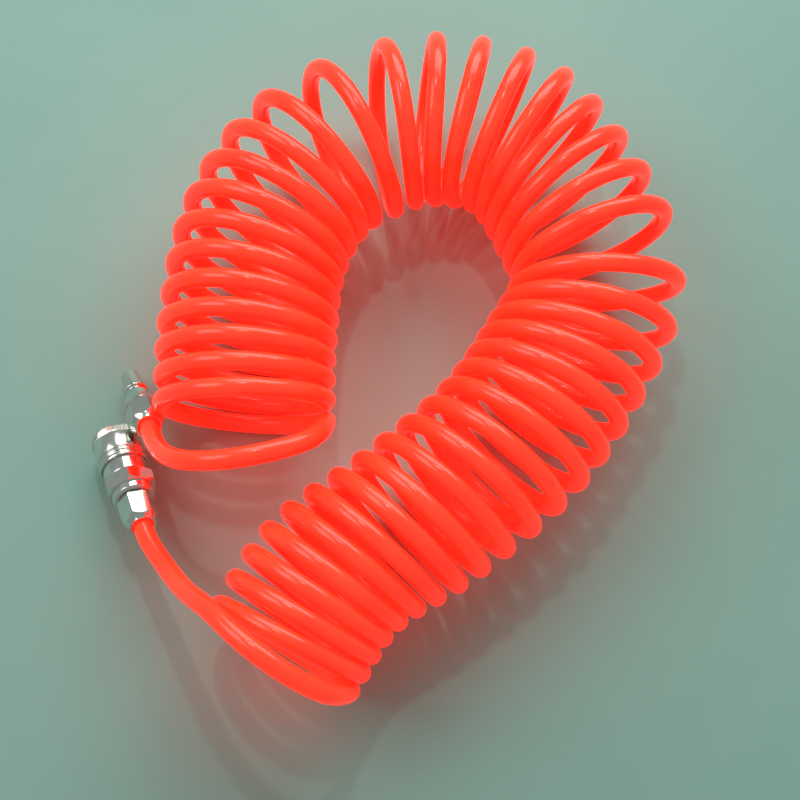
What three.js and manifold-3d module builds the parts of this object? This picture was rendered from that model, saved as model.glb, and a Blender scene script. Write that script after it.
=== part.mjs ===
// Recoil air hose: a polyurethane coil laid in a horseshoe, with a quick-connect
// socket on one end and a plug on the other. Millimetres, +Z up. The origin is on
// the resting surface, under the middle of the whole object.

import * as THREE from 'three';
import { mergeVertices } from 'three/addons/utils/BufferGeometryUtils.js';
import Module from 'manifold-3d';

const wasm = await Module();
wasm.setup();

// ---- Driving dimensions -------------------------------------------------------

const HOSE_RADIUS = 5;              // 6.5 x 10 mm hose
const COIL_RADIUS = 45.5;           // half the coil's outer width, across its flats
const FIT_GAP = 0.3;                // clearance between neighbouring pieces

// Middle line of the coil, seen from above, from the plug end to the socket end.
const COIL_AXIS = [
  [-69.5, -51.5], [-78, -18], [-85, 42], [-70, 95], [-32, 132], [5, 145], [40, 140],
  [90, 86], [97, 60], [91, 24], [70, -36], [34, -90], [0, -132], [-12, -164],
];

// Free stretches of hose: from the coil's end face to the mouth of each hose nut.
const PLUG_TAIL = [
  [-28, -79, 78.5], [-44.5, -94, 86.5], [-63, -103, 85], [-78.5, -105.5, 77.5],
  [-92, -102.5, 64.5], [-105, -90.5, 43],
];
const SOCKET_TAIL = [
  [11.5, -196, 74], [-7.5, -195, 87.5], [-29, -187.5, 89.5], [-50.5, -174, 78.5],
  [-67, -162.5, 57.5], [-82, -149, 42], [-93.5, -138, 34.5],
];
const TAIL_OFFSET = 39;             // from the coil's middle line to a tail, in its end face
const TAIL_STRAIGHT = 8;            // how far a tail runs straight out of that face
const MOUTH_STRAIGHT = 3;           // and straight out of the nut at its other end

// Middle of the whole object in the layout above; it becomes the origin.
const MIDDLE = [1.4, -4.3];

// Each fitting lies along its own axis: z = 0 at the free end, growing toward the hose.
const PLUG = { front: [-136.3, -44.2, 7.4], azimuth: -56, rise: 32 };
const SOCKET = { front: [-131.3, -82.9, 12.6], azimuth: -56, rise: 18 };

const NUT = { acrossFlats: 16.5, length: 17.2, cone: 2.6, mouth: 6.8, bore: 5.3, thread: 6.9 };
const PLUG_NUT_START = 32;
const SOCKET_NUT_START = 42.7;

const NOSE_RADIUS = 5.15;           // plug nose, sealed by the packing
const COLLAR_RADIUS = 6.5;          // plug collar, held by the lock balls
const COLLAR_START = 13;
const COLLAR_END = 16.5;
const SHOULDER_RADIUS = 7.2;
const SHOULDER_START = 22;
const SHOULDER_END = PLUG_NUT_START - FIT_GAP;
const WRENCH_START = 28;            // hex in front of the plug's hose nut
const PASSAGE_RADIUS = 2.4;         // air passage through both fittings
const THREAD_RADIUS = 6.6;
const BARB_RADIUS = 3.4;
const BARB_LENGTH = 14.6;           // thread and barb together
const WRENCH_ROLL = 27;             // degrees; turns a wrench hex until a corner faces up

const SLEEVE_RADIUS = 13.1;
const SLEEVE_FRONT = 0.5;
const SLEEVE_REAR = 21.3;
const TUBE_RADIUS = 8.75;           // front tube of the socket body
const TUBE_BORE = 6.8;
const NECK_RADIUS = 11.7;
const NECK_START = 19.5;
const BODY_REAR = 29.7;
const BALL_RADIUS = 1.5;
const BALL_COUNT = 4;
const BALL_SEAT = 7.4;              // ball centre, from the socket's axis
const BALL_PLACE = 6.4;             // ball centre, along the socket's axis
const HEX_ACROSS_FLATS = 24.5;
const HEX_START = 30;
const HEX_END = 38;
const FLANGE_RADIUS = 11;
const FLANGE_END = 42.3;
const CUP_RADIUS = 6.6;             // spring chamber inside the adapter
const CUP_END = 36;

const POPPET_RADIUS = 6.2;
const STEM_RADIUS = 1.8;
const SEAT_START = 34.5;            // guide disc behind the valve spring
const SEAT_END = 35.7;

// ---- Materials ----------------------------------------------------------------

const hosePlastic = new THREE.MeshStandardMaterial({ color: 0xff3a24, roughness: 0.18, metalness: 0 });
const platedBrass = new THREE.MeshStandardMaterial({ color: 0xc9cbc4, roughness: 0.16, metalness: 1 });
const steel = new THREE.MeshStandardMaterial({ color: 0xb9bcc0, roughness: 0.25, metalness: 1 });
const rubber = new THREE.MeshStandardMaterial({ color: 0x1b1b1c, roughness: 0.6, metalness: 0 });

// ---- Shape helpers ------------------------------------------------------------

// Profile points are [radius, z]; the result turns about the z axis.
function turned(profile, sides = 32) {
  const points = profile.map(([radius, z]) => new THREE.Vector2(radius, z));
  points.push(points[0].clone());
  return new THREE.LatheGeometry(points, sides).rotateX(Math.PI / 2);
}

// A washer-like ring between two radii.
function ring(inner, outer, start, end, sides = 24) {
  return turned([[inner, start], [outer, start], [outer, end], [inner, end]], sides);
}

function polygon(apothem, sides) {
  const radius = apothem / Math.cos(Math.PI / sides);
  const shape = new THREE.Shape();
  for (let corner = 0; corner < sides; corner += 1) {
    const angle = (corner + 0.5) * 2 * Math.PI / sides;
    const x = radius * Math.cos(angle);
    const y = radius * Math.sin(angle);
    if (corner === 0) shape.moveTo(x, y);
    else shape.lineTo(x, y);
  }
  shape.closePath();
  return shape;
}

function tubeAlong(curve, radius, sides, steps) {
  return new THREE.ExtrudeGeometry(polygon(radius, sides), { steps, extrudePath: curve });
}

// A six-sided prism with one flat facing +y.
function hexPrism(acrossFlats, start, end) {
  const prism = new THREE.ExtrudeGeometry(polygon(acrossFlats / 2, 6), {
    depth: end - start, bevelEnabled: false,
  });
  return prism.rotateZ(Math.PI / 2).translate(0, 0, start);
}

class Helix extends THREE.Curve {
  constructor(radius, start, end, turns) {
    super();
    this.radius = radius;
    this.start = start;
    this.end = end;
    this.turns = turns;
  }

  getPoint(t, target = new THREE.Vector3()) {
    const angle = 2 * Math.PI * this.turns * t;
    return target.set(
      this.radius * Math.cos(angle),
      this.radius * Math.sin(angle),
      this.start + (this.end - this.start) * t,
    );
  }
}

function spring(radius, wire, start, end, turns) {
  const wireRadius = wire / 2;
  const path = new Helix(radius, start + wireRadius, end - wireRadius, turns);
  return tubeAlong(path, wireRadius * 0.9, 6, turns * 12);
}

// ---- Boolean helpers ----------------------------------------------------------

function toSolid(geometry) {
  const bare = geometry.clone();
  bare.deleteAttribute('normal');
  bare.deleteAttribute('uv');
  const merged = mergeVertices(bare, 1e-4);
  const mesh = new wasm.Mesh({
    numProp: 3,
    vertProperties: new Float32Array(merged.attributes.position.array),
    triVerts: new Uint32Array(merged.index.array),
  });
  return new wasm.Manifold(mesh);
}

function toGeometry(solid) {
  const mesh = solid.getMesh();
  const geometry = new THREE.BufferGeometry();
  geometry.setAttribute('position', new THREE.BufferAttribute(mesh.vertProperties, 3));
  geometry.setIndex(new THREE.BufferAttribute(mesh.triVerts, 1));
  return geometry;
}

// ---- Placing ------------------------------------------------------------------

// A group whose z axis runs along the fitting and whose y axis faces up.
function fittingGroup({ front, azimuth, rise }) {
  const turn = THREE.MathUtils.degToRad(azimuth);
  const tilt = THREE.MathUtils.degToRad(rise);
  const along = new THREE.Vector3(
    Math.cos(tilt) * Math.cos(turn),
    Math.cos(tilt) * Math.sin(turn),
    Math.sin(tilt),
  );
  const across = new THREE.Vector3().crossVectors(new THREE.Vector3(0, 0, 1), along).normalize();
  const upward = new THREE.Vector3().crossVectors(along, across);
  const group = new THREE.Group();
  group.quaternion.setFromRotationMatrix(new THREE.Matrix4().makeBasis(across, upward, along));
  group.position.set(...front);
  group.updateMatrixWorld();
  return group;
}

function addPiece(group, name, geometry, material) {
  const mesh = new THREE.Mesh(geometry, material);
  mesh.name = name;
  group.add(mesh);
  return mesh;
}

// ---- Hose ---------------------------------------------------------------------

function coilAxis() {
  const points = COIL_AXIS.map(([x, y]) => new THREE.Vector3(x, y, COIL_RADIUS));
  return new THREE.CatmullRomCurve3(points);
}

// The coil is one fat tube of its outer width.
function coilSolid() {
  return tubeAlong(coilAxis(), COIL_RADIUS, 10, 36);
}

// A free stretch leaves the coil's end face squarely, and ends square to the mouth of
// its nut; both ends keep the fit gap. The end is 0 for the plug's tail, 1 for the socket's.
function tailSolid(end, route, fitting, mouthPlace) {
  const axis = coilAxis();
  const outward = axis.getTangent(end).multiplyScalar(end === 0 ? -1 : 1);
  const inner = new THREE.Vector3(0, 0, 1).cross(outward);
  const start = axis.getPoint(end).addScaledVector(inner, TAIL_OFFSET);
  const points = [FIT_GAP, TAIL_STRAIGHT].map(
    (distance) => start.clone().addScaledVector(outward, distance),
  );
  points.push(...route.map((point) => new THREE.Vector3(...point)));
  for (const distance of [MOUTH_STRAIGHT, FIT_GAP]) {
    points.push(fitting.localToWorld(new THREE.Vector3(0, 0, mouthPlace + distance)));
  }
  return tubeAlong(new THREE.CatmullRomCurve3(points), HOSE_RADIUS, 10, 28);
}

// ---- Pieces that both fittings share ------------------------------------------

// A wrench hex whose corners are cut back by cones at both ends.
function chamferedHex(acrossFlats, start, end, depth, height) {
  const corner = acrossFlats / 2 / Math.cos(Math.PI / 6);
  const hex = toSolid(hexPrism(acrossFlats, start, end));
  return hex.intersect(toSolid(turned([
    [0, start], [corner - depth, start], [corner, start + height],
    [corner, end - height], [corner - depth, end], [0, end],
  ])));
}

// Compression nut over the hose: chamfered hex, short cone behind it, stepped bore.
function hoseNut(start) {
  const end = start + NUT.length;
  const shoulder = end - NUT.cone;
  const hex = chamferedHex(NUT.acrossFlats, start, shoulder, 1.3, 1.1);
  const cone = toSolid(turned([
    [0, shoulder - 0.8], [NUT.mouth + 0.9, shoulder - 0.8], [NUT.mouth + 0.6, end - 1.4],
    [NUT.mouth, end], [0, end],
  ]));
  const bore = toSolid(turned([
    [0, start - 1], [NUT.thread, start - 1], [NUT.thread, start + 8.6], [NUT.bore, start + 10.4],
    [NUT.bore, end + 1], [0, end + 1],
  ]));
  return toGeometry(hex.add(cone).subtract(bore));
}

// Threaded neck and hose barb behind a fitting's shoulder, as profile points.
function barbProfile(start) {
  return [
    [THREAD_RADIUS, start], [THREAD_RADIUS, start + 8], [BARB_RADIUS, start + 9.6],
    [BARB_RADIUS + 0.4, start + 10.6], [BARB_RADIUS, start + 12],
    [BARB_RADIUS + 0.4, start + 12.4], [BARB_RADIUS - 0.2, start + BARB_LENGTH],
    [PASSAGE_RADIUS, start + BARB_LENGTH],
  ];
}

function passage(start, end) {
  return toSolid(turned([[0, start], [PASSAGE_RADIUS, start], [PASSAGE_RADIUS, end], [0, end]]));
}

// ---- Plug ---------------------------------------------------------------------

// Nose, locking collar, shoulder, wrench hex with a corner up, threaded neck and barb.
function plugBody() {
  const outside = toSolid(turned([
    [0, 0], [NOSE_RADIUS - 0.9, 0], [NOSE_RADIUS, 1], [NOSE_RADIUS, COLLAR_START - 0.8],
    [COLLAR_RADIUS, COLLAR_START], [COLLAR_RADIUS, COLLAR_END], [NOSE_RADIUS, COLLAR_END + 1],
    [NOSE_RADIUS, SHOULDER_START - 1.4], [SHOULDER_RADIUS, SHOULDER_START],
    [SHOULDER_RADIUS, SHOULDER_END], ...barbProfile(SHOULDER_END).slice(0, -1),
    [0, SHOULDER_END + BARB_LENGTH],
  ], 28));
  const hex = chamferedHex(NUT.acrossFlats, WRENCH_START, SHOULDER_END, 1.3, 0.8)
    .rotate([0, 0, WRENCH_ROLL]);
  return toGeometry(outside.add(hex).subtract(passage(-1, SHOULDER_END + BARB_LENGTH + 1)));
}

function buildPlug(group) {
  addPiece(group, 'plug_body', plugBody(), platedBrass);
  addPiece(group, 'plug_hose_nut', hoseNut(PLUG_NUT_START), platedBrass)
    .rotateZ(THREE.MathUtils.degToRad(8));
}

// ---- Socket -------------------------------------------------------------------

// Front tube with ball holes and stop-ring groove, valve seat, neck and thread bore.
function socketBody() {
  const groove = TUBE_RADIUS - 0.55;
  let body = toSolid(turned([
    [TUBE_BORE + 0.8, 0], [TUBE_RADIUS, 0], [TUBE_RADIUS, 2.8], [groove, 2.8], [groove, 4.4],
    [TUBE_RADIUS, 4.4], [TUBE_RADIUS, NECK_START], [NECK_RADIUS, NECK_START],
    [NECK_RADIUS, BODY_REAR], [8.6, BODY_REAR], [8.6, 24.5], [7.5, 24.5], [7.5, 20.4],
    [5.6, 18.2], [5.6, 16.4], [7.4, 16.4], [7.4, 12.3], [TUBE_BORE, 12.3], [TUBE_BORE, 1],
  ]));
  const hole = new THREE.CylinderGeometry(BALL_RADIUS + FIT_GAP, BALL_RADIUS + FIT_GAP, 5, 12);
  for (let ball = 0; ball < BALL_COUNT; ball += 1) {
    const drill = hole.clone().translate(0, BALL_SEAT + 0.5, 0);
    drill.rotateZ(ball * 2 * Math.PI / BALL_COUNT).translate(0, 0, BALL_PLACE);
    body = body.subtract(toSolid(drill));
  }
  return toGeometry(body);
}

// Knurled front rim, barrel, bead between two grooves, rear collar; locking land inside.
function socketSleeve() {
  return turned([
    [10.4, SLEEVE_FRONT], [SLEEVE_RADIUS - 0.6, SLEEVE_FRONT], [SLEEVE_RADIUS, SLEEVE_FRONT + 0.6],
    [SLEEVE_RADIUS, 4.4], [SLEEVE_RADIUS - 0.3, 4.6], [SLEEVE_RADIUS - 0.3, 15.2],
    [12.5, 15.7], [12.5, 16.3], [12.9, 16.8], [12.9, 17.6], [12.5, 18.1], [12.5, 18.6],
    [SLEEVE_RADIUS - 0.2, 19], [SLEEVE_RADIUS - 0.2, SLEEVE_REAR - 0.4],
    [SLEEVE_RADIUS - 0.6, SLEEVE_REAR], [NECK_RADIUS + FIT_GAP + 0.05, SLEEVE_REAR],
    [NECK_RADIUS + FIT_GAP + 0.05, 8.9], [9.45, 8.9], [9.45, 4.7], [10.4, 4.7],
  ]);
}

// Hex adapter: spigot into the body, wrench hex, flange, thread and barb for the hose.
function socketAdapter() {
  const spigot = toSolid(turned([[0, 25.6], [8.3, 25.6], [8.3, HEX_START + 1], [0, HEX_START + 1]]));
  const hex = chamferedHex(HEX_ACROSS_FLATS, HEX_START, HEX_END, 1.7, 1.2);
  const rear = toSolid(turned([
    [0, HEX_END - 1], [FLANGE_RADIUS, HEX_END - 1], [FLANGE_RADIUS, FLANGE_END - 0.8],
    [FLANGE_RADIUS - 0.8, FLANGE_END], ...barbProfile(FLANGE_END).slice(0, -1),
    [0, FLANGE_END + BARB_LENGTH],
  ]));
  const hollow = toSolid(turned([
    [0, 24], [CUP_RADIUS, 24], [CUP_RADIUS, CUP_END], [PASSAGE_RADIUS, CUP_END],
    [PASSAGE_RADIUS, FLANGE_END + 16], [0, FLANGE_END + 16],
  ]));
  return toGeometry(hex.add(spigot).add(rear).subtract(hollow));
}

function valvePoppet() {
  return turned([
    [0, 20], [4.8, 20], [4.8, 21.3], [POPPET_RADIUS, 21.3], [POPPET_RADIUS, 22.3],
    [STEM_RADIUS, 22.3], [STEM_RADIUS, SEAT_END + 0.8], [0, SEAT_END + 0.8],
  ], 24);
}

// Guide disc for the valve stem, with four air holes.
function springSeat() {
  let disc = toSolid(ring(STEM_RADIUS + FIT_GAP, CUP_RADIUS - FIT_GAP, SEAT_START, SEAT_END));
  const hole = new THREE.CylinderGeometry(1, 1, 4, 10).rotateX(Math.PI / 2);
  for (let place = 0; place < 4; place += 1) {
    const drill = hole.clone().translate(4.2, 0, SEAT_START).rotateZ(place * Math.PI / 2);
    disc = disc.subtract(toSolid(drill));
  }
  return toGeometry(disc);
}

function buildSocket(group) {
  addPiece(group, 'socket_body', socketBody(), platedBrass);
  addPiece(group, 'socket_sleeve', socketSleeve(), platedBrass);
  addPiece(group, 'socket_adapter', socketAdapter(), platedBrass)
    .rotateZ(THREE.MathUtils.degToRad(WRENCH_ROLL));
  addPiece(group, 'socket_hose_nut', hoseNut(SOCKET_NUT_START), platedBrass)
    .rotateZ(THREE.MathUtils.degToRad(-12));
  addPiece(group, 'sleeve_stop_ring', ring(8.5, 9.9, 3.1, 4.1), steel);
  addPiece(group, 'sleeve_spring', spring(10.5, 1, 9.2, 19.2, 4), steel);
  addPiece(group, 'nose_packing', ring(5.45, 7.1, 12.6, 16.1), rubber);
  addPiece(group, 'valve_poppet', valvePoppet(), platedBrass);
  addPiece(group, 'valve_seal', ring(5.1, POPPET_RADIUS, 19.9, 21), rubber);
  addPiece(group, 'valve_spring', spring(4.8, 0.9, 22.6, 34.2, 6), steel);
  addPiece(group, 'valve_spring_seat', springSeat(), platedBrass);
  addPiece(group, 'adapter_gasket', ring(7, 8.3, 24.8, 25.3), rubber);
  for (let ball = 0; ball < BALL_COUNT; ball += 1) {
    const angle = ball * 2 * Math.PI / BALL_COUNT + Math.PI / 2;
    addPiece(group, `lock_ball_${ball + 1}`, new THREE.SphereGeometry(BALL_RADIUS, 10, 8), steel)
      .position.set(BALL_SEAT * Math.cos(angle), BALL_SEAT * Math.sin(angle), BALL_PLACE);
  }
}

// ---- Whole object -------------------------------------------------------------

const layout = new THREE.Group();
const plug = fittingGroup(PLUG);
const socket = fittingGroup(SOCKET);
buildPlug(plug);
buildSocket(socket);
layout.add(plug, socket);

addPiece(layout, 'hose_coil', coilSolid(), hosePlastic);
addPiece(layout, 'hose_tail_plug',
  tailSolid(0, PLUG_TAIL, plug, PLUG_NUT_START + NUT.length), hosePlastic);
addPiece(layout, 'hose_tail_socket',
  tailSolid(1, SOCKET_TAIL, socket, SOCKET_NUT_START + NUT.length), hosePlastic);
layout.position.set(-MIDDLE[0], -MIDDLE[1], 0);

const airHose = new THREE.Group();
airHose.add(layout);

export default airHose;
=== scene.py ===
"""Coiled air hose: a horseshoe of coiled hose with a quick-connect socket and plug.

Metres, in the part's frame: +Z up, origin on the resting surface under the middle.
"""
import bisect
import math

import bmesh
import bpy
from mathutils import Matrix, Vector


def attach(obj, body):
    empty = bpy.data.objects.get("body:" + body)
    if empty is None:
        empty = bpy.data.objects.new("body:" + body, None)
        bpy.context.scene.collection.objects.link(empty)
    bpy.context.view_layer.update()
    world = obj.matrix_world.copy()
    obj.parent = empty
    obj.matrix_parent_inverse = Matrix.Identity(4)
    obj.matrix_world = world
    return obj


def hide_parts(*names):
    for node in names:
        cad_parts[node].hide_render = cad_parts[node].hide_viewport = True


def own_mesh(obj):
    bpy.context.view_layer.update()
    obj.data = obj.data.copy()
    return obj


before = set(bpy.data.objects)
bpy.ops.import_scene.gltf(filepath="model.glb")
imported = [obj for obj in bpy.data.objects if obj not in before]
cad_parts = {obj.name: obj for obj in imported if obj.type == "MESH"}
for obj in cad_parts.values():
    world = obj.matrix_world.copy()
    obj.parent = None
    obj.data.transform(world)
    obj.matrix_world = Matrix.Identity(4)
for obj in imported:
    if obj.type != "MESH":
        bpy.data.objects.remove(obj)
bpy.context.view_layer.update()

MM = 0.001

# ---- Layout, in millimetres ----------------------------------------------------

# The layout's own coordinates put the object's middle here; the frame's origin is there.
MIDDLE = Vector((1.4, -4.3, 0.0))

HOSE_RADIUS = 5.0
HOSE_TURNS = (0.25, 39.75)  # where the coil begins at the plug end, and ends at the socket end

# How the coil lies, from the plug end to the socket end: (turn, x, y, heading of the
# coil's middle line in degrees, lean of the turn in degrees).
STATIONS = [
    (0, -65, -68, 105, -15),    # plug end
    (4, -78, -18, 96, -10),
    (8, -85, 42, 78, -8),
    (11, -70, 95, 54, -10),
    (13, -32, 132, 20, -8),
    (15, 5, 145, -4, -6),       # closed end of the horseshoe
    (17, 40, 140, -22, 0),
    (21, 90, 86, -60, 0),
    (22, 97, 60, -80, 6),
    (24, 91, 24, -97, 6),
    (28, 70, -36, -115, 6),
    (32, 34, -90, -122, 10),
    (36, 0, -132, -115, 15),
    (40, -15, -180, -102, 15),  # socket end
]
# Radius of a turn, to the middle of the hose: (turn, radius).
TURN_RADII = [(0, 42), (16, 44.5), (40, 37.5)]

# Free stretches of hose, from the coil to each hose nut.
PLUG_TAIL = [
    (-28, -79, 78.5), (-44.5, -94, 86.5), (-63, -103, 85), (-78.5, -105.5, 77.5),
    (-92, -102.5, 64.5), (-105, -90.5, 43),
]
SOCKET_TAIL = [
    (11.5, -196, 74), (-7.5, -195, 87.5), (-29, -187.5, 89.5), (-50.5, -174, 78.5),
    (-67, -162.5, 57.5), (-82, -149, 42), (-93.5, -138, 34.5),
]

# Each fitting lies along its own axis: z = 0 at the free end, growing toward the hose.
PLUG = {"front": (-136.3, -44.2, 7.4), "azimuth": -56, "rise": 32}
SOCKET = {"front": (-131.3, -82.9, 12.6), "azimuth": -56, "rise": 18}
PLUG_NUT_START = 32
SOCKET_NUT_START = 42.7
HOSE_INSIDE_NUT = 6.0
TURN_POINTS = 16            # points along each turn of the coil
NUT_LENGTH = 17.2


def place(point):
    """A layout point in millimetres as a point of the frame in metres."""
    return (Vector(point) - MIDDLE) * MM


# ---- Camera --------------------------------------------------------------------


def make_camera():
    data = bpy.data.cameras.new("camera")
    data.sensor_width = 36.0
    data.lens = 62.77
    data.clip_start = 0.01
    camera = bpy.data.objects.new("camera", data)
    bpy.context.scene.collection.objects.link(camera)
    camera.rotation_mode = "ZYX"
    camera.rotation_euler = (math.radians(24.0), 0.0, math.radians(15.3))
    camera.location = place((8.8, -329.0, 712.7))
    bpy.context.scene.camera = camera
    return camera


make_camera()

# ---- Small helpers -------------------------------------------------------------


def link(name, mesh, material, smooth=True):
    """A new object for a mesh, with one material."""
    obj = bpy.data.objects.new(name, mesh)
    bpy.context.scene.collection.objects.link(obj)
    mesh.materials.append(material)
    if smooth:
        mesh.polygons.foreach_set("use_smooth", [True] * len(mesh.polygons))
    return obj


def fitting_matrix(fitting):
    """The frame's matrix of a fitting: its z axis runs toward the hose, y faces up."""
    turn = math.radians(fitting["azimuth"])
    tilt = math.radians(fitting["rise"])
    along = Vector((
        math.cos(tilt) * math.cos(turn),
        math.cos(tilt) * math.sin(turn),
        math.sin(tilt),
    ))
    across = Vector((0, 0, 1)).cross(along).normalized()
    upward = along.cross(across)
    basis = Matrix((across, upward, along)).transposed()
    return Matrix.Translation(place(fitting["front"])) @ basis.to_4x4()


PLUG_MATRIX = fitting_matrix(PLUG)
SOCKET_MATRIX = fitting_matrix(SOCKET)

# ---- Node helpers --------------------------------------------------------------


def new_material(name):
    """A node material; returns (material, tree, principled shader)."""
    material = bpy.data.materials.new(name)
    material.use_nodes = True
    tree = material.node_tree
    return material, tree, tree.nodes["Principled BSDF"]


def ramp(tree, source, stops):
    """A colour ramp over a value; stops are (position, (r, g, b))."""
    made = tree.nodes.new("ShaderNodeValToRGB")
    elements = made.color_ramp.elements
    while len(elements) < len(stops):
        elements.new(0.5)
    for element, (position, colour) in zip(elements, stops):
        element.position = position
        element.color = (*colour, 1.0)
    tree.links.new(source, made.inputs["Fac"])
    return made.outputs["Color"]


def bump(tree, height, strength, distance, normal=None):
    made = tree.nodes.new("ShaderNodeBump")
    made.inputs["Strength"].default_value = strength
    made.inputs["Distance"].default_value = distance
    tree.links.new(height, made.inputs["Height"])
    if normal is not None:
        tree.links.new(normal, made.inputs["Normal"])
    return made.outputs["Normal"]


def stretched_coordinates(tree, scale):
    """Object coordinates, scaled differently along each axis."""
    coordinates = tree.nodes.new("ShaderNodeTexCoord")
    mapping = tree.nodes.new("ShaderNodeMapping")
    mapping.inputs["Scale"].default_value = scale
    tree.links.new(coordinates.outputs["Object"], mapping.inputs["Vector"])
    return mapping.outputs["Vector"]


def noise(tree, vector, scale, detail=2.0, roughness=0.5):
    made = tree.nodes.new("ShaderNodeTexNoise")
    made.inputs["Scale"].default_value = scale
    made.inputs["Detail"].default_value = detail
    made.inputs["Roughness"].default_value = roughness
    tree.links.new(vector, made.inputs["Vector"])
    return made.outputs["Fac"]


# ---- Materials -----------------------------------------------------------------


def hose_material():
    """Glossy fluorescent polyurethane, faintly cloudy, with fine drawing marks; its emission is a
    painted glow that keeps the red bright in shade and throws red light on the floor.
    """
    material, tree, shader = new_material("hose_polyurethane")
    plain = stretched_coordinates(tree, (1, 1, 1))
    cloud = noise(tree, plain, 38.0, 3.0)
    colour = ramp(tree, cloud, [(0.3, (0.90, 0.060, 0.020)), (0.7, (0.98, 0.080, 0.026))])
    tree.links.new(colour, shader.inputs["Base Color"])
    # Painted glow: emission stands in for light, keeping the hose bright red in shade and lighting the
    # floor around it red.
    painted_glow = ramp(tree, cloud, [(0.3, (1.0, 0.012, 0.006)), (0.7, (1.0, 0.018, 0.008))])
    tree.links.new(painted_glow, shader.inputs["Emission Color"])
    shader.inputs["Emission Strength"].default_value = 0.95
    shader.inputs["Specular IOR Level"].default_value = 0.5
    shader.inputs["IOR"].default_value = 1.5
    shader.inputs["Subsurface Weight"].default_value = 0.25
    shader.inputs["Subsurface Radius"].default_value = (0.004, 0.0012, 0.0008)
    shader.inputs["Subsurface Scale"].default_value = 1.0
    fine = noise(tree, plain, 900.0, 2.0)
    gloss = tree.nodes.new("ShaderNodeMapRange")
    gloss.inputs["To Min"].default_value = 0.16
    gloss.inputs["To Max"].default_value = 0.26
    tree.links.new(fine, gloss.inputs["Value"])
    tree.links.new(gloss.outputs["Result"], shader.inputs["Roughness"])
    ripple = noise(tree, plain, 160.0, 2.0)
    tree.links.new(bump(tree, ripple, 0.08, 0.0006), shader.inputs["Normal"])
    return material


def plated_material(name, tint, low, high, marks):
    """Bright nickel plating over turned metal: fine rings, small stains, soft wear."""
    material, tree, shader = new_material(name)
    shader.inputs["Metallic"].default_value = 1.0
    plain = stretched_coordinates(tree, (1, 1, 1))
    stain = noise(tree, plain, 130.0, 4.0, 0.6)
    dark = tuple(0.86 * part for part in tint)
    tree.links.new(ramp(tree, stain, [(0.32, dark), (0.62, tint)]), shader.inputs["Base Color"])
    rings = noise(tree, stretched_coordinates(tree, (0.02, 0.02, 1.0)), marks, 2.0)
    gloss = tree.nodes.new("ShaderNodeMapRange")
    gloss.inputs["To Min"].default_value = low
    gloss.inputs["To Max"].default_value = high
    tree.links.new(stain, gloss.inputs["Value"])
    tree.links.new(gloss.outputs["Result"], shader.inputs["Roughness"])
    first = bump(tree, rings, 0.12, 0.00008)
    second = bump(tree, noise(tree, plain, 420.0, 2.0), 0.1, 0.00006, first)
    tree.links.new(second, shader.inputs["Normal"])
    return material


def rubber_material():
    """Matt black nitrile with a dusty bloom."""
    material, tree, shader = new_material("seal_rubber")
    plain = stretched_coordinates(tree, (1, 1, 1))
    dust = noise(tree, plain, 500.0, 4.0)
    colours = [(0.4, (0.012, 0.012, 0.013)), (0.75, (0.05, 0.05, 0.05))]
    tree.links.new(ramp(tree, dust, colours), shader.inputs["Base Color"])
    shader.inputs["Roughness"].default_value = 0.62
    tree.links.new(bump(tree, dust, 0.2, 0.0001), shader.inputs["Normal"])
    return material


def floor_material():
    """Pale sea-green painted table, satin, slightly mottled."""
    material, tree, shader = new_material("floor_paint")
    plain = stretched_coordinates(tree, (1, 1, 1))
    mottle = noise(tree, plain, 5.0, 4.0)
    colours = [(0.35, (0.235, 0.425, 0.36)), (0.7, (0.26, 0.46, 0.39))]
    tree.links.new(ramp(tree, mottle, colours), shader.inputs["Base Color"])
    shader.inputs["Roughness"].default_value = 0.5
    shader.inputs["Specular IOR Level"].default_value = 0.4
    tree.links.new(bump(tree, noise(tree, plain, 700.0), 0.05, 0.0002), shader.inputs["Normal"])
    return material


HOSE = hose_material()
PLATING = plated_material("nickel_plating", (0.80, 0.79, 0.74), 0.10, 0.20, 2500.0)
SLEEVE_PLATING = plated_material("sleeve_plating", (0.82, 0.80, 0.74), 0.12, 0.22, 2500.0)
STEEL = plated_material("spring_steel", (0.60, 0.61, 0.63), 0.18, 0.30, 4000.0)
RUBBER = rubber_material()

# ---- Hose ----------------------------------------------------------------------


def between(rows, turn):
    """Smooth values at a turn, from rows of (turn, value, ...)."""
    turns = [row[0] for row in rows]
    index = min(max(bisect.bisect_right(turns, turn) - 1, 0), len(rows) - 2)
    span = turns[index + 1] - turns[index]
    part = (turn - turns[index]) / span

    def slopes(row):
        low = max(row - 1, 0)
        high = min(row + 1, len(rows) - 1)
        width = turns[high] - turns[low]
        return [(b - a) / width * span for a, b in zip(rows[low][1:], rows[high][1:])]

    ends = zip(rows[index][1:], rows[index + 1][1:], slopes(index), slopes(index + 1))
    return [
        (2 * part ** 3 - 3 * part ** 2 + 1) * here + (3 * part ** 2 - 2 * part ** 3) * there
        + (part ** 3 - 2 * part ** 2 + part) * leaving + (part ** 3 - part ** 2) * arriving
        for here, there, leaving, arriving in ends
    ]


def coil_point(turn):
    """Centre of the hose after so many turns, in the layout; a turn starts at its top."""
    x, y, heading, lean = between(STATIONS, turn)
    radius, = between(TURN_RADII, turn)
    heading = math.radians(heading)
    lean = math.radians(lean)
    forward = Vector((math.cos(heading), math.sin(heading), 0))
    side = Vector((math.sin(heading), -math.cos(heading), 0))
    top = Vector((0, 0, math.cos(lean))) + forward * math.sin(lean)
    centre = Vector((x, y, radius * math.cos(lean) + HOSE_RADIUS))
    angle = 2 * math.pi * turn
    return centre + (top * math.cos(angle) + side * math.sin(angle)) * radius


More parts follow.
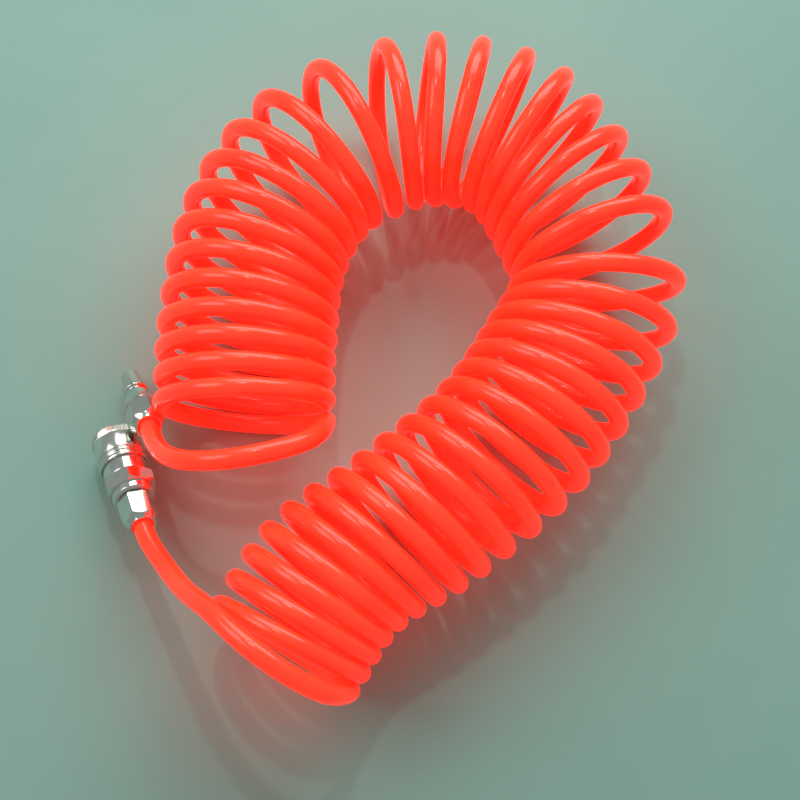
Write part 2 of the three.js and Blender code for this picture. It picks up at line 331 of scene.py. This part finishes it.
def curve_point(points, knots, t):
    """A point of the Catmull-Rom curve between the middle two of four points."""

    def mix(a, b, low, high):
        return a.lerp(b, (t - knots[low]) / (knots[high] - knots[low]))

    first, second, third, fourth = points
    a = mix(first, second, 0, 1)
    b = mix(second, third, 1, 2)
    c = mix(third, fourth, 2, 3)
    return mix(mix(a, b, 0, 2), mix(b, c, 1, 3), 1, 2)


def smooth_path(points, pieces):
    """Points on the centripetal Catmull-Rom curve through all the given points."""
    ends = [2 * points[0] - points[1], *points, 2 * points[-1] - points[-2]]
    path = []
    for four in zip(ends, ends[1:], ends[2:], ends[3:]):
        knots = [0.0]
        for a, b in zip(four, four[1:]):
            knots.append(knots[-1] + math.sqrt((b - a).length))
        for piece in range(pieces):
            t = knots[1] + (knots[2] - knots[1]) * piece / pieces
            path.append(curve_point(four, knots, t))
    path.append(points[-1].copy())
    return path


def nut_mouth(matrix, nut_start, away):
    """A layout point on a fitting's axis, so far outside the mouth of its hose nut."""
    return matrix @ Vector((0, 0, (nut_start + NUT_LENGTH + away) * MM)) / MM + MIDDLE


def hose_route():
    """The whole hose in the layout, from inside the plug's nut to inside the socket's."""
    first, last = HOSE_TURNS
    count = round((last - first) * TURN_POINTS)
    coil = [coil_point(first + (last - first) * i / count) for i in range(count + 1)]
    plug_end = [nut_mouth(PLUG_MATRIX, PLUG_NUT_START, away) for away in (-HOSE_INSIDE_NUT, 0.5)]
    socket_end = [
        nut_mouth(SOCKET_MATRIX, SOCKET_NUT_START, away) for away in (0.5, -HOSE_INSIDE_NUT)
    ]
    plug_side = [Vector(point) for point in reversed(PLUG_TAIL)]
    socket_side = [Vector(point) for point in SOCKET_TAIL]
    return plug_end + plug_side + coil + socket_side + socket_end


def make_hose():
    path = [place(point) for point in smooth_path(hose_route(), 3)]
    curve = bpy.data.curves.new("hose", "CURVE")
    curve.dimensions = "3D"
    curve.bevel_depth = HOSE_RADIUS * MM
    curve.bevel_resolution = 5
    curve.use_fill_caps = True
    spline = curve.splines.new("POLY")
    spline.points.add(len(path) - 1)
    for point, centre in zip(spline.points, path):
        point.co = (*centre, 1.0)
    spline.use_smooth = True
    curve.materials.append(HOSE)
    hose = bpy.data.objects.new("hose", curve)
    bpy.context.scene.collection.objects.link(hose)
    length = sum((b - a).length for a, b in zip(path, path[1:]))
    return hose, path, length


hose, hose_path, hose_length = make_hose()
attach(hose, "root")
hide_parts("hose_coil", "hose_tail_plug", "hose_tail_socket")
print("hose length", round(hose_length, 3))

# ---- Turned and hexagonal pieces -----------------------------------------------


def turned(profile, sides=96, knurl=None):
    """A mesh turned about z from a closed profile of (radius, z) in millimetres.

    knurl = (teeth, depth, low z, high z) cuts teeth into the outermost surface there.
    """
    shape = bmesh.new()
    rows = []
    if knurl:
        sides = knurl[0] * 4
    outermost = max(radius for radius, _ in profile)
    for radius, z in profile:
        row = []
        on_axis = radius < 1e-6
        for side in range(1 if on_axis else sides):
            angle = 2 * math.pi * side / sides
            reach = radius
            if knurl and radius > outermost - 0.5 and knurl[2] <= z <= knurl[3]:
                reach -= knurl[1] * (0.0, 0.35, 1.0, 0.35)[side % 4]
            row.append(shape.verts.new((
                reach * math.cos(angle) * MM, reach * math.sin(angle) * MM, z * MM,
            )))
        rows.append(row)
    for near, far in zip(rows, rows[1:] + rows[:1]):
        if len(near) == 1 and len(far) == 1:
            continue
        for side in range(sides):
            other = (side + 1) % sides
            a, b = near[side % len(near)], near[other % len(near)]
            c, d = far[other % len(far)], far[side % len(far)]
            corners = list(dict.fromkeys((a, b, c, d)))
            shape.faces.new(corners)
    bmesh.ops.recalc_face_normals(shape, faces=shape.faces)
    mesh = bpy.data.meshes.new("turned")
    shape.to_mesh(mesh)
    shape.free()
    return mesh


def rounded(profile, radius=0.2, steps=3):
    """The same closed profile with its corners rounded, in millimetres."""
    result = []
    points = [Vector(point) for point in profile]
    count = len(points)
    for index, corner in enumerate(points):
        before = points[index - 1] - corner
        after = points[(index + 1) % count] - corner
        if corner.x < 1e-6 or before.length < 1e-6 or after.length < 1e-6:
            result.append(tuple(corner))
            continue
        reach = min(radius, before.length * 0.45, after.length * 0.45)
        start = corner + before.normalized() * reach
        end = corner + after.normalized() * reach
        for step in range(steps + 1):
            share = step / steps
            curve = start.lerp(corner, share).lerp(corner.lerp(end, share), share)
            result.append(tuple(curve))
    return result


def hex_prism(across_flats, start, end):
    """A six-sided prism with a flat facing +y."""
    shape = bmesh.new()
    corner = across_flats / 2 / math.cos(math.pi / 6)
    rings = []
    for z in (start, end):
        rings.append([
            shape.verts.new((
                corner * math.cos(math.pi / 3 * side) * MM,
                corner * math.sin(math.pi / 3 * side) * MM,
                z * MM,
            ))
            for side in range(6)
        ])
    shape.faces.new(rings[0])
    shape.faces.new(rings[1])
    for side in range(6):
        other = (side + 1) % 6
        shape.faces.new((rings[0][side], rings[0][other], rings[1][other], rings[1][side]))
    bmesh.ops.recalc_face_normals(shape, faces=shape.faces)
    mesh = bpy.data.meshes.new("hex")
    shape.to_mesh(mesh)
    shape.free()
    return mesh


def combined(base, steps):
    """base changed by boolean steps of ("INTERSECT" | "UNION" | "DIFFERENCE", mesh)."""
    scene = bpy.context.scene
    work = bpy.data.objects.new("work", base)
    scene.collection.objects.link(work)
    tools = []
    for operation, mesh in steps:
        tool = bpy.data.objects.new("tool", mesh)
        scene.collection.objects.link(tool)
        tools.append(tool)
        modifier = work.modifiers.new("cut", "BOOLEAN")
        modifier.operation = operation
        modifier.solver = "EXACT"
        modifier.object = tool
    bpy.context.view_layer.update()
    result = bpy.data.meshes.new_from_object(
        work.evaluated_get(bpy.context.evaluated_depsgraph_get()))
    for obj in (work, *tools):
        bpy.data.objects.remove(obj)
    return result


def add_piece(name, mesh, material, matrix, body, slot, nodes, roll=0.0, edge=0.0):
    """A finished piece in a fitting's frame, riding a body and standing for CAD nodes."""
    piece = link(name, mesh, material)
    piece.matrix_world = matrix @ Matrix.Rotation(math.radians(roll), 4, "Z")
    if edge:
        bevel = piece.modifiers.new("edges", "BEVEL")
        bevel.width = edge * MM
        bevel.segments = 3
        bevel.limit_method = "ANGLE"
        bevel.angle_limit = math.radians(32)
        bevel.harden_normals = True
    mesh.set_sharp_from_angle(angle=math.radians(38))
    bpy.context.view_layer.update()
    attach(piece, body)
    if nodes:
        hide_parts(*nodes)
    return piece


# ---- Shared fitting dimensions, in millimetres ---------------------------------

NUT_FLATS = 16.5
NUT_CONE = 2.6
NUT_THREAD = 6.9
NUT_BORE = 5.3
NUT_MOUTH = 6.8
THREAD_RADIUS = 6.6
BARB_RADIUS = 3.4
PASSAGE_RADIUS = 2.4
WRENCH_ROLL = 27            # degrees; turns a wrench hex until a corner faces up


def hex_cones(across_flats, start, end, depth, height):
    """The turned body that cuts back a wrench hex's corners at both ends."""
    corner = across_flats / 2 / math.cos(math.pi / 6) + 0.05
    return turned([
        (0, start), (corner - depth, start), (corner, start + height),
        (corner, end - height), (corner - depth, end), (0, end),
    ])


def hose_nut_mesh(start):
    """Compression nut: a hex cut by a short cone in front and a long one to its mouth."""
    end = start + NUT_LENGTH
    shoulder = end - NUT_CONE
    corner = NUT_FLATS / 2 / math.cos(math.pi / 6) + 0.05
    cones = turned([
        (0, start), (corner - 1.3, start), (corner, start + 1.1), (corner, shoulder - 1.8),
        (NUT_FLATS / 2 - 0.1, shoulder), (NUT_MOUTH + 0.25, end), (0, end),
    ])
    bore = turned([
        (0, start - 1), (NUT_THREAD, start - 1), (NUT_THREAD, start + 8.6),
        (NUT_BORE, start + 10.4), (NUT_BORE, end - 2), (NUT_BORE + 0.7, end - 1),
        (NUT_BORE + 0.7, end + 1), (0, end + 1),
    ])
    body = hex_prism(NUT_FLATS, start, end)
    return combined(body, [("INTERSECT", cones), ("DIFFERENCE", bore)])


def barb_profile(start):
    """Threaded neck and hose barb behind a shoulder, ending on the air passage."""
    points = []
    pitch = 1.0
    for crest in range(7):
        z = start + 0.8 + crest * pitch
        points += [(THREAD_RADIUS - 0.4, z), (THREAD_RADIUS, z + 0.5 * pitch)]
    return [
        (THREAD_RADIUS - 0.4, start), *points, (THREAD_RADIUS - 0.4, start + 8),
        (BARB_RADIUS, start + 9.6), (BARB_RADIUS + 0.4, start + 10.6),
        (BARB_RADIUS, start + 12), (BARB_RADIUS + 0.4, start + 12.4),
        (BARB_RADIUS - 0.2, start + 14.6), (PASSAGE_RADIUS, start + 14.6),
    ]


# ---- Plug ----------------------------------------------------------------------


def plug_mesh():
    """Nose, locking collar, shoulder, wrench hex, threaded neck and barb."""
    shoulder = PLUG_NUT_START - 0.3
    outside = turned(rounded([
        (0, 0), (4.25, 0), (5.15, 1), (5.15, 12.2), (6.5, 13), (6.5, 16.5), (5.15, 17.5),
        (5.15, 20.6), (7.2, 22), (7.2, shoulder), *barb_profile(shoulder)[:-1],
        (0, shoulder + 14.6),
    ], 0.35))
    air = turned([
        (0, -1), (PASSAGE_RADIUS, -1), (PASSAGE_RADIUS, shoulder + 16), (0, shoulder + 16),
    ])
    return combined(hex_prism(NUT_FLATS, 28, shoulder), [
        ("INTERSECT", hex_cones(NUT_FLATS, 28, shoulder, 1.3, 0.8)),
        ("UNION", outside),
        ("DIFFERENCE", air),
    ])


def make_plug():
    add_piece("plug_body_piece", plug_mesh(), PLATING, PLUG_MATRIX, "root", "plated_brass",
              ["plug_body"], roll=WRENCH_ROLL, edge=0.12)
    add_piece("plug_nut_piece", hose_nut_mesh(PLUG_NUT_START), PLATING, PLUG_MATRIX, "root",
              "plated_brass", ["plug_hose_nut"], roll=8, edge=0.15)


# ---- Socket --------------------------------------------------------------------


def sleeve_mesh():
    """Knurled front rim, barrel, bead between two grooves, rear collar."""
    knurled = 14
    rim = [(13.1 - 0.05 * (step in (0, knurled)), 1.0 + 3.2 * step / knurled)
           for step in range(knurled + 1)]
    profile = [
        (10.4, 0.5), (12.4, 0.5), (12.9, 0.75), *rim, (12.85, 4.5), (12.75, 4.75), (12.85, 5.0),
        (12.85, 15.0), (12.7, 15.35), (12.45, 15.5), (12.45, 16.0), (12.6, 16.2),
        (12.85, 16.6), (12.93, 17.1), (12.85, 17.6), (12.6, 18.0), (12.45, 18.2), (12.45, 18.7),
        (12.8, 18.9), (12.95, 19.15), (12.95, 20.9), (12.7, 21.25), (12.2, 21.3),
        (11.85, 21.2), (11.85, 20.6), (12.05, 20.4), (12.05, 8.9), (9.45, 8.9), (9.45, 4.7), (10.4, 4.7),
    ]
    return turned(profile, knurl=(96, 0.34, 0.95, 4.3))


def body_mesh():
    """Front tube with ball holes and stop-ring groove, valve seat, neck, thread bore."""
    outline = [
        (7.6, 0), (8.75, 0), (8.75, 2.8), (8.2, 2.8), (8.2, 4.4), (8.75, 4.4), (8.75, 19.5),
        (11.7, 19.5), (11.7, 29.0), (11.3, 29.7), (8.6, 29.7), (8.6, 24.5), (7.5, 24.5),
        (7.5, 20.4), (5.6, 18.2), (5.6, 16.4), (7.4, 16.4), (7.4, 12.3), (6.8, 12.3), (6.8, 1),
    ]
    holes = []
    for ball in range(4):
        drill = bmesh.new()
        bmesh.ops.create_cone(
            drill, cap_ends=True, segments=32, radius1=1.8 * MM, radius2=1.8 * MM, depth=5 * MM)
        turn = Matrix.Rotation(math.pi / 2 * ball, 4, "Z")
        move = Matrix.Translation((0, 7.9 * MM, 6.4 * MM))
        drill.transform(turn @ move @ Matrix.Rotation(math.pi / 2, 4, "X"))
        mesh = bpy.data.meshes.new("drill")
        drill.to_mesh(mesh)
        drill.free()
        holes.append(("DIFFERENCE", mesh))
    return combined(turned(rounded(outline, 0.25)), holes)


def adapter_mesh():
    """Spigot, wrench hex with coned corners, flange, threaded neck and barb."""
    cones = hex_cones(24.5, 30, 38, 2.3, 1.5)
    spigot = turned([(0, 25.6), (8.3, 25.6), (8.3, 31), (0, 31)])
    rear = turned(rounded([
        (0, 37), (11, 37), (11, 41.4), (10.1, 42.3), *barb_profile(42.3)[:-1], (0, 56.9),
    ], 0.25))
    hollow = turned([
        (0, 24), (6.6, 24), (6.6, 36), (PASSAGE_RADIUS, 36), (PASSAGE_RADIUS, 59), (0, 59),
    ])
    return combined(hex_prism(24.5, 30, 38), [
        ("INTERSECT", cones), ("UNION", spigot), ("UNION", rear), ("DIFFERENCE", hollow),
    ])


def torus_mesh(mean, tube, place_z):
    circle = [
        (mean + tube * math.cos(math.pi * step / 8), place_z + tube * math.sin(math.pi * step / 8))
        for step in range(16)
    ]
    return turned(circle)


def spring_mesh(radius, wire, start, end, turns):
    """Wire helix about z, with closed ends."""
    curve = bpy.data.curves.new("spring", "CURVE")
    curve.dimensions = "3D"
    curve.bevel_depth = wire / 2 * 0.9 * MM
    curve.bevel_resolution = 3
    curve.use_fill_caps = True
    spline = curve.splines.new("POLY")
    steps = turns * 36
    spline.points.add(steps)
    low = start + wire / 2
    high = end - wire / 2
    for step, point in enumerate(spline.points):
        share = step / steps
        angle = 2 * math.pi * turns * share
        point.co = (
            radius * math.cos(angle) * MM, radius * math.sin(angle) * MM,
            (low + (high - low) * share) * MM, 1.0,
        )
    work = bpy.data.objects.new("work", curve)
    bpy.context.scene.collection.objects.link(work)
    bpy.context.view_layer.update()
    mesh = bpy.data.meshes.new_from_object(
        work.evaluated_get(bpy.context.evaluated_depsgraph_get()))
    bpy.data.objects.remove(work)
    mesh.materials.clear()
    return mesh


def ball_mesh(place_angle):
    shape = bmesh.new()
    bmesh.ops.create_uvsphere(shape, u_segments=32, v_segments=20, radius=1.5 * MM)
    shape.transform(Matrix.Translation((
        7.4 * math.cos(place_angle) * MM, 7.4 * math.sin(place_angle) * MM, 6.4 * MM)))
    mesh = bpy.data.meshes.new("ball")
    shape.to_mesh(mesh)
    shape.free()
    return mesh


def seat_mesh():
    """Guide disc for the valve stem, with four air holes."""
    disc = turned(rounded([(2.1, 34.5), (6.3, 34.5), (6.3, 35.7), (2.1, 35.7)], 0.15))
    holes = []
    for place_index in range(4):
        angle = math.pi / 2 * place_index
        drill = bmesh.new()
        bmesh.ops.create_cone(
            drill, cap_ends=True, segments=24, radius1=1 * MM, radius2=1 * MM, depth=4 * MM)
        drill.transform(Matrix.Translation((
            4.2 * math.cos(angle) * MM, 4.2 * math.sin(angle) * MM, 35 * MM)))
        mesh = bpy.data.meshes.new("drill")
        drill.to_mesh(mesh)
        drill.free()
        holes.append(("DIFFERENCE", mesh))
    return combined(disc, holes)


def make_socket():
    place_all = SOCKET_MATRIX

    def add(name, mesh, material, body, slot, nodes, **extra):
        return add_piece(name, mesh, material, place_all, body, slot, nodes, **extra)

    add("sleeve_piece", sleeve_mesh(), SLEEVE_PLATING, "sleeve", "sleeve_plating",
        ["socket_sleeve"])
    add("body_piece", body_mesh(), PLATING, "root", "plated_brass", ["socket_body"])
    add("adapter_piece", adapter_mesh(), PLATING, "root", "plated_brass", ["socket_adapter"],
        roll=WRENCH_ROLL, edge=0.2)
    add("socket_nut_piece", hose_nut_mesh(SOCKET_NUT_START), PLATING, "root",
        "plated_brass", ["socket_hose_nut"], roll=-12, edge=0.15)
    stop = turned(rounded([(8.5, 3.1), (9.9, 3.1), (9.9, 4.1), (8.5, 4.1)], 0.3))
    add("stop_ring_piece", stop, STEEL, "root", "spring_steel", ["sleeve_stop_ring"])
    packing = turned(rounded([
        (5.45, 12.6), (7.1, 12.6), (7.1, 16.1), (6.3, 16.1), (6.1, 15.2), (5.45, 15.9),
    ], 0.3))
    add("packing_piece", packing, RUBBER, "root", "seal_rubber", ["nose_packing"])
    poppet = turned(rounded([
        (0, 20), (4.8, 20), (4.8, 21.3), (6.2, 21.3), (6.2, 22.3), (1.8, 22.3), (1.8, 36.5),
        (0, 36.5),
    ], 0.25))
    add("poppet_piece", poppet, PLATING, "valve", "plated_brass", ["valve_poppet"])
    add("valve_seal_piece", torus_mesh(5.65, 0.5, 20.45), RUBBER, "valve", "seal_rubber",
        ["valve_seal"])
    add("gasket_piece", torus_mesh(7.6, 0.26, 25.05), RUBBER, "root", "seal_rubber",
        ["adapter_gasket"])
    add("spring_seat_piece", seat_mesh(), PLATING, "root", "plated_brass",
        ["valve_spring_seat"])
    for ball in range(4):
        angle = math.pi / 2 * (ball + 1)
        add(f"ball_piece_{ball + 1}", ball_mesh(angle), STEEL, f"ball_{ball + 1}",
            "spring_steel", [f"lock_ball_{ball + 1}"])
    springs = (
        ("sleeve_spring", "sleeve_pull", (10.5, 1.0, 9.2, 19.2, 4), 0.55),
        ("valve_spring", "valve_push", (4.8, 0.9, 22.6, 34.2, 6), 0.62),
    )
    for node_name, joint, sizes, keep in springs:
        piece = add(node_name + "_piece", spring_mesh(*sizes), STEEL, "root", "spring_steel",
                    [node_name])
        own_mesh(piece)


make_plug()
make_socket()

# ---- Floor and light -----------------------------------------------------------


def make_floor():
    shape = bmesh.new()
    bmesh.ops.create_grid(shape, x_segments=1, y_segments=1, size=3.0)
    mesh = bpy.data.meshes.new("floor")
    shape.to_mesh(mesh)
    shape.free()
    floor = link("floor", mesh, floor_material(), smooth=False)
    return floor


def make_light(name, location, target, size, power, colour):
    data = bpy.data.lights.new(name, "AREA")
    data.shape = "RECTANGLE"
    data.size, data.size_y = size
    data.energy = power
    data.color = colour
    light = bpy.data.objects.new(name, data)
    bpy.context.scene.collection.objects.link(light)
    light.location = location
    toward = Vector(target) - Vector(location)
    light.rotation_euler = toward.to_track_quat("-Z", "Y").to_euler()
    return light


def make_lighting():
    world = bpy.data.worlds.new("studio")
    world.use_nodes = True
    background = world.node_tree.nodes["Background"]
    background.inputs["Color"].default_value = (0.80, 0.90, 0.88, 1.0)
    background.inputs["Strength"].default_value = 0.34
    bpy.context.scene.world = world
    make_light("window", (-0.10, 1.45, 1.20), (0, 0, 0), (1.9, 1.1), 23.0, (1.0, 0.99, 0.96))
    make_light("fill", (-1.2, -0.1, 1.2), (0, 0, 0), (0.9, 0.9), 7.0, (0.95, 0.99, 1.0))
    make_light("lamp", (-0.25, 0.40, 1.20), (0, 0, 0), (0.05, 0.05), 1.3, (1.0, 1.0, 1.0))


make_floor()
make_lighting()
bpy.context.scene.view_settings.view_transform = "Standard"
